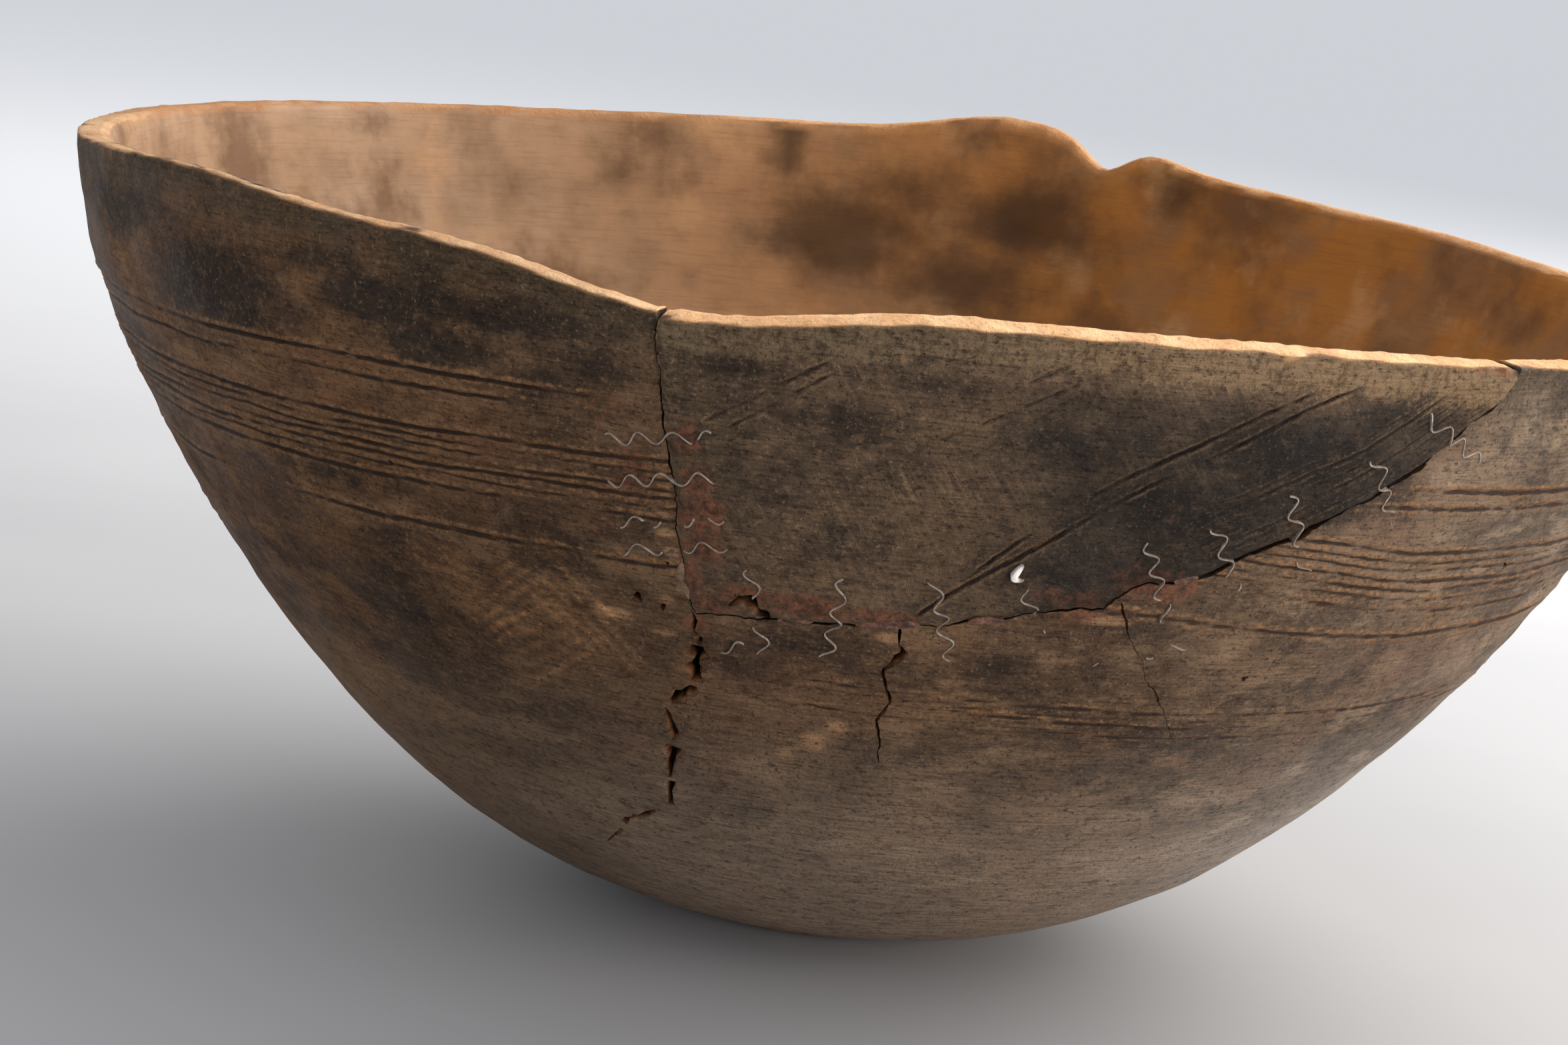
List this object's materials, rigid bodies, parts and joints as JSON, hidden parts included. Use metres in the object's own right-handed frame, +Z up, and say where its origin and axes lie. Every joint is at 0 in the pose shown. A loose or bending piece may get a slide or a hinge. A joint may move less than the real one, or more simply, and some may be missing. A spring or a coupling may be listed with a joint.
{
  "type": "carved wooden bowl",
  "caption": "Deep round-bottomed wooden bowl carved with ring grooves, its rim mended with a carved patch pinned by corrugated steel fasteners.",
  "frame": {"origin": "centre of the flat spot that the bowl rests on", "axes": "+Z up out of the bowl's mouth, -Y towards the mended side with the patch, +X to the right when facing that side"},
  "size_m": [0.3844, 0.3861, 0.1826],
  "materials": {
    "body_wood": "old hand-carved wood, dark handled patina outside and paler worn wood inside",
    "patch_wood": "grey-brown weathered wood with scored lines and a worn tan band under the rim",
    "steel": "dull grey corrugated steel strip with slight rust",
    "putty": "hard, lumpy tan wood putty",
    "resin": "hard reddish-brown resin smeared into the seam"
  },
  "bodies": {
    "root": {"bowl_body": "body_wood", "rim_patch": "patch_wood", "fastener_left_1": "steel", "fastener_left_2": "steel", "fastener_left_3": "steel", "fastener_left_4": "steel", "fastener_lower_1": "steel", "fastener_lower_2": "steel", "fastener_lower_3": "steel", "fastener_lower_4": "steel", "fastener_diagonal_1": "steel", "fastener_diagonal_2": "steel", "fastener_diagonal_3": "steel", "fastener_diagonal_4": "steel", "fastener_diagonal_5": "steel", "fastener_crack_left": "steel", "fastener_crack_right": "steel", "putty_left": "putty", "resin_lower_1": "resin", "resin_lower_2": "resin", "resin_lower_3": "resin", "resin_diagonal": "resin"}
  },
  "joints": []
}
